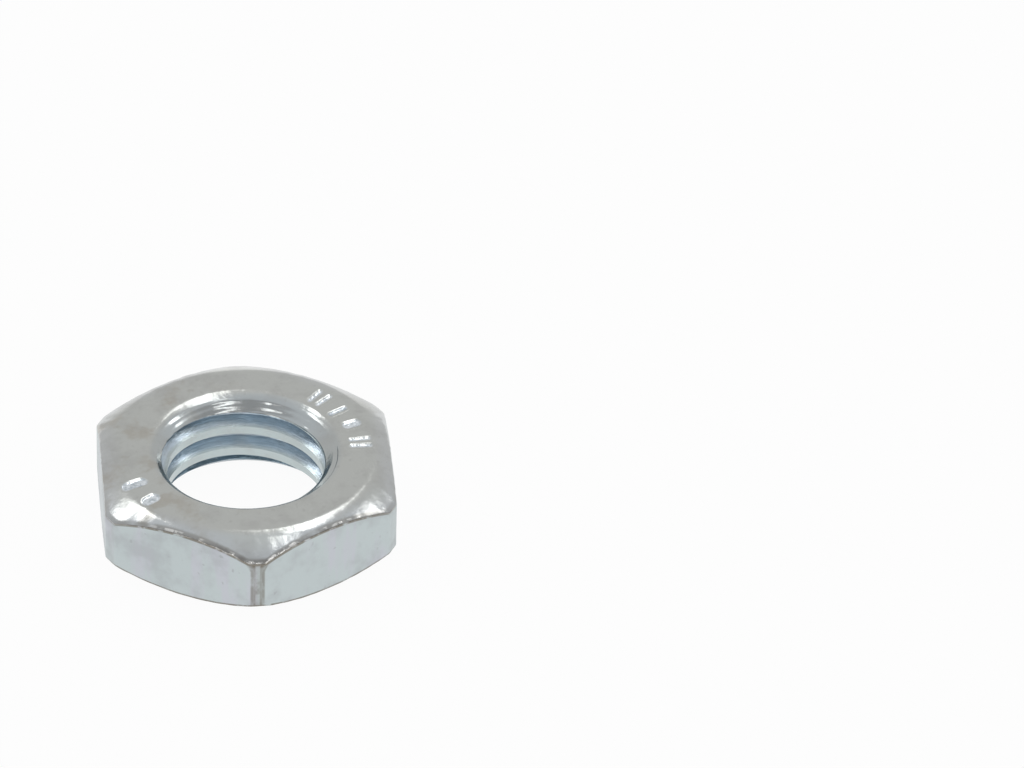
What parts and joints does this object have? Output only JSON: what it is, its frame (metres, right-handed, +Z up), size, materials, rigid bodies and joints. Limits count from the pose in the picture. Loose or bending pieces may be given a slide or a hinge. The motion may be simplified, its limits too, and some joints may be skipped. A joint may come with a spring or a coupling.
{
  "type": "jam nut",
  "caption": "Thin hexagon nut with a right-hand metric thread right through, a countersink at each end of the bore, wider at the lower face, and a turned chamfer on both bearing faces.",
  "frame": {"origin": "on the thread's axis, in the lower bearing face", "axes": "+Z up the thread's axis, +X through the middle of a flat, +Y through a corner"},
  "size_m": [0.019, 0.0214, 0.0057],
  "materials": {
    "zinc_plated_steel": "bright zinc plate over steel, satin on the faces and flats, brighter in the thread"
  },
  "bodies": {
    "root": {"jam_nut": "zinc_plated_steel"}
  },
  "joints": []
}
